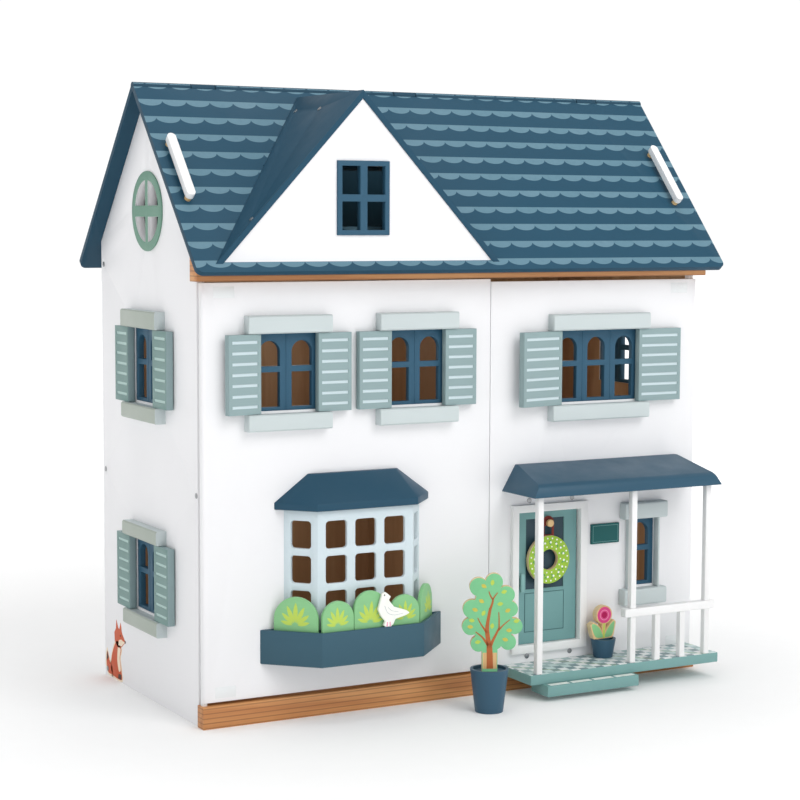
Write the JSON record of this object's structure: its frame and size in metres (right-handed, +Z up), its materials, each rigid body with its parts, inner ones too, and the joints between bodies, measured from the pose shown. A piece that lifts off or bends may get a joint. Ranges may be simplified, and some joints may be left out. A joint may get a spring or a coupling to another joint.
{
  "type": "wooden dollhouse",
  "caption": "Gabled wooden dollhouse with hinged front panels, lifting front roof with dormer, bay window, porch, opening entry door and shutters.",
  "frame": {"origin": "middle of the house's footprint on the table, under the ridge", "axes": "+X to the viewer's right along the front, front faces -Y, +Z up"},
  "size_m": [0.674, 0.4219, 0.6872],
  "materials": {
    "white_paint": "satin painted",
    "trim_paint": "satin painted",
    "blue_paint": "satin painted",
    "roof_paint": "satin painted with a scallop print",
    "rear_roof_paint": "satin painted",
    "dormer_paint": "satin painted",
    "porch_roof_paint": "satin painted",
    "teal_paint": "satin painted",
    "shutter_paint": "satin painted",
    "bay_paint": "satin painted",
    "deck_paint": "satin painted with a tile print",
    "sage_paint": "satin painted",
    "shrub_paint": "satin painted",
    "wreath_leaf": "dry leaves",
    "plant": "satin painted",
    "pot_flower": "satin painted",
    "natural_wood": "sanded pine",
    "inner_wood": "sanded plywood",
    "roof_metal": "painted like the roof",
    "zinc": "brushed",
    "white_fitting": "gloss"
  },
  "bodies": {
    "house": {"ground_floor": "inner_wood", "front_rails": "natural_wood", "side_walls": "white_paint", "back_wall": "inner_wood", "first_floor": "inner_wood", "attic_floor": "inner_wood", "partitions": "inner_wood", "staircase": "inner_wood", "rear_roof": "rear_roof_paint", "ridge_hinges": "roof_metal", "wall_screws": "zinc", "side_window_trim": "trim_paint", "side_casements": "blue_paint", "round_windows": "sage_paint"},
    "left_front": {"left_panel": "white_paint", "left_window_trim": "trim_paint", "left_casements": "blue_paint", "bay_frame": "bay_paint", "bay_roof": "dormer_paint", "bay_planter": "dormer_paint", "shrubs": "shrub_paint", "dove": "white_paint", "left_hinge_fittings": "white_fitting"},
    "right_front": {"right_panel": "white_paint", "right_window_trim": "trim_paint", "right_casements": "blue_paint", "door_frame": "trim_paint", "frame_screws": "zinc", "house_sign": "teal_paint", "porch_deck": "deck_paint", "porch_step": "teal_paint", "porch_posts": "white_paint", "porch_railing": "white_paint", "porch_roof": "porch_roof_paint", "right_hinge_fittings": "white_fitting"},
    "entry_door": {"door_leaf": "teal_paint", "door_fittings": "white_fitting"},
    "hanging_wreath": {"wreath": "wreath_leaf"},
    "pot": {"flower_pot": "pot_flower"},
    "tree": {"potted_tree": "plant"},
    "front_roof": {"roof_front_panel": "roof_paint", "dormer_slopes": "dormer_paint", "dormer_gable": "white_paint", "dormer_window": "blue_paint", "dormer_screws": "zinc", "roof_handles": "white_paint"},
    "w1_shutter_left": {"w1_shutter_left": "shutter_paint"},
    "w1_shutter_right": {"w1_shutter_right": "shutter_paint"},
    "w2_shutter_left": {"w2_shutter_left": "shutter_paint"},
    "w2_shutter_right": {"w2_shutter_right": "shutter_paint"},
    "w3_shutter_left": {"w3_shutter_left": "shutter_paint"},
    "w3_shutter_right": {"w3_shutter_right": "shutter_paint"},
    "left_upper_shutter_front": {"left_upper_shutter_front": "shutter_paint"},
    "left_upper_shutter_rear": {"left_upper_shutter_rear": "shutter_paint"},
    "left_lower_shutter_front": {"left_lower_shutter_front": "shutter_paint"},
    "left_lower_shutter_rear": {"left_lower_shutter_rear": "shutter_paint"},
    "right_upper_shutter_front": {"right_upper_shutter_front": "shutter_paint"},
    "right_upper_shutter_rear": {"right_upper_shutter_rear": "shutter_paint"},
    "right_lower_shutter_front": {"right_lower_shutter_front": "shutter_paint"},
    "right_lower_shutter_rear": {"right_lower_shutter_rear": "shutter_paint"}
  },
  "joints": [
    {"name": "left_front_hinge", "type": "hinge", "parent": "house", "child": "left_front", "pos_m": [-0.3165, -0.1415, 0.25], "axis": [0, 0, -1], "range_deg": [0, 165]},
    {"name": "right_front_hinge", "type": "hinge", "parent": "house", "child": "right_front", "pos_m": [0.3165, -0.1415, 0.25], "axis": [0, 0, 1], "range_deg": [0, 120]},
    {"name": "roof_hinge", "type": "hinge", "parent": "house", "child": "front_roof", "pos_m": [0, 0, 0.68268], "axis": [-1, 0, 0], "range_deg": [0, 135]},
    {"name": "entry_door_hinge", "type": "hinge", "parent": "right_front", "child": "entry_door", "pos_m": [0.15, -0.142, 0.127], "axis": [0, 0, -1], "range_deg": [0, 100]},
    {"name": "wreath_swing", "type": "hinge", "parent": "entry_door", "child": "hanging_wreath", "pos_m": [0.111, -0.148, 0.191], "axis": [0, 1, 0], "range_deg": [-5, 5]},
    {"name": "pot_lift", "type": "slide", "parent": "right_front", "child": "pot", "axis": [-0.83, -0.54, 0.14], "range_m": [0, 0.15]},
    {"name": "tree_lift", "type": "slide", "parent": "left_front", "child": "tree", "axis": [0, 0, 1], "range_m": [0, 0.6]},
    {"name": "w1_shutter_left_hinge", "type": "hinge", "parent": "left_front", "child": "w1_shutter_left", "pos_m": [-0.259, -0.1523, 0.37575], "axis": [0, 0, 1], "range_deg": [-8, 170]},
    {"name": "w1_shutter_right_hinge", "type": "hinge", "parent": "left_front", "child": "w1_shutter_right", "pos_m": [-0.185, -0.1523, 0.37575], "axis": [0, 0, -1], "range_deg": [0, 178]},
    {"name": "w2_shutter_left_hinge", "type": "hinge", "parent": "left_front", "child": "w2_shutter_left", "pos_m": [-0.102, -0.1523, 0.37575], "axis": [0, 0, 1], "range_deg": [0, 178]},
    {"name": "w2_shutter_right_hinge", "type": "hinge", "parent": "left_front", "child": "w2_shutter_right", "pos_m": [-0.028, -0.1523, 0.37575], "axis": [0, 0, -1], "range_deg": [0, 178]},
    {"name": "w3_shutter_left_hinge", "type": "hinge", "parent": "right_front", "child": "w3_shutter_left", "pos_m": [0.12, -0.1523, 0.3699], "axis": [0, 0, 1], "range_deg": [-11, 167]},
    {"name": "w3_shutter_right_hinge", "type": "hinge", "parent": "right_front", "child": "w3_shutter_right", "pos_m": [0.234, -0.1523, 0.3699], "axis": [0, 0, -1], "range_deg": [0, 178]},
    {"name": "left_upper_shutter_front_hinge", "type": "hinge", "parent": "house", "child": "left_upper_shutter_front", "pos_m": [-0.3253, -0.0365, 0.37575], "axis": [0, 0, -1], "range_deg": [0, 178]},
    {"name": "left_upper_shutter_rear_hinge", "type": "hinge", "parent": "house", "child": "left_upper_shutter_rear", "pos_m": [-0.3253, 0.0435, 0.37575], "axis": [0, 0, 1], "range_deg": [0, 178]},
    {"name": "left_lower_shutter_front_hinge", "type": "hinge", "parent": "house", "child": "left_lower_shutter_front", "pos_m": [-0.3253, -0.0365, 0.13965], "axis": [0, 0, -1], "range_deg": [0, 178]},
    {"name": "left_lower_shutter_rear_hinge", "type": "hinge", "parent": "house", "child": "left_lower_shutter_rear", "pos_m": [-0.3253, 0.0435, 0.13965], "axis": [0, 0, 1], "range_deg": [0, 178]},
    {"name": "right_upper_shutter_front_hinge", "type": "hinge", "parent": "house", "child": "right_upper_shutter_front", "pos_m": [0.3253, -0.0365, 0.37575], "axis": [0, 0, 1], "range_deg": [0, 178]},
    {"name": "right_upper_shutter_rear_hinge", "type": "hinge", "parent": "house", "child": "right_upper_shutter_rear", "pos_m": [0.3253, 0.0435, 0.37575], "axis": [0, 0, -1], "range_deg": [0, 178]},
    {"name": "right_lower_shutter_front_hinge", "type": "hinge", "parent": "house", "child": "right_lower_shutter_front", "pos_m": [0.3253, -0.0365, 0.13965], "axis": [0, 0, 1], "range_deg": [0, 178]},
    {"name": "right_lower_shutter_rear_hinge", "type": "hinge", "parent": "house", "child": "right_lower_shutter_rear", "pos_m": [0.3253, 0.0435, 0.13965], "axis": [0, 0, -1], "range_deg": [0, 178]}
  ]
}
